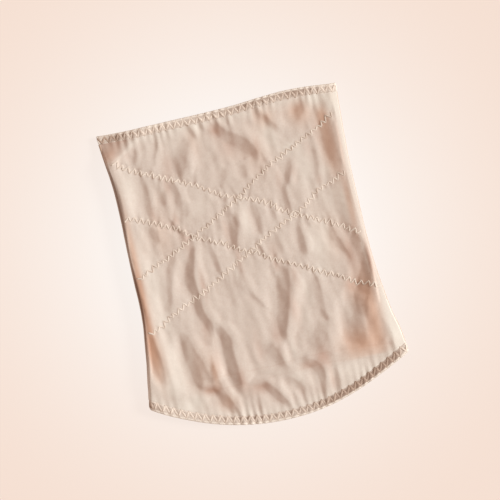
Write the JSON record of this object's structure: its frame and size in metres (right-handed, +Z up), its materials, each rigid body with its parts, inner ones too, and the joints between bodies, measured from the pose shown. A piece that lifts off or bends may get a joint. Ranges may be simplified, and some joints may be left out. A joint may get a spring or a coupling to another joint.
{
  "type": "abdominal binder",
  "caption": "Pull-on abdominal binder: an open tube of beige stretch fabric with elastic edges, a curved hem and crossing zigzag stitching, lying flat.",
  "frame": {"origin": "on the surface that the binder lies on, under the middle of its box", "axes": "+X across the garment towards its left side as worn, which is the right of the picture, +Y towards the top edge, +Z up from the surface, out of the front panel"},
  "size_m": [0.2924, 0.3535, 0.0147],
  "materials": {
    "stretch_knit": "satin",
    "elastic_edge": "matte",
    "seam_thread": "matte"
  },
  "bodies": {
    "root": {"front_panel": "stretch_knit", "back_panel": "stretch_knit", "top_elastic": "elastic_edge", "bottom_elastic": "elastic_edge", "side_seam_left": "seam_thread", "side_seam_right": "seam_thread"}
  },
  "joints": []
}
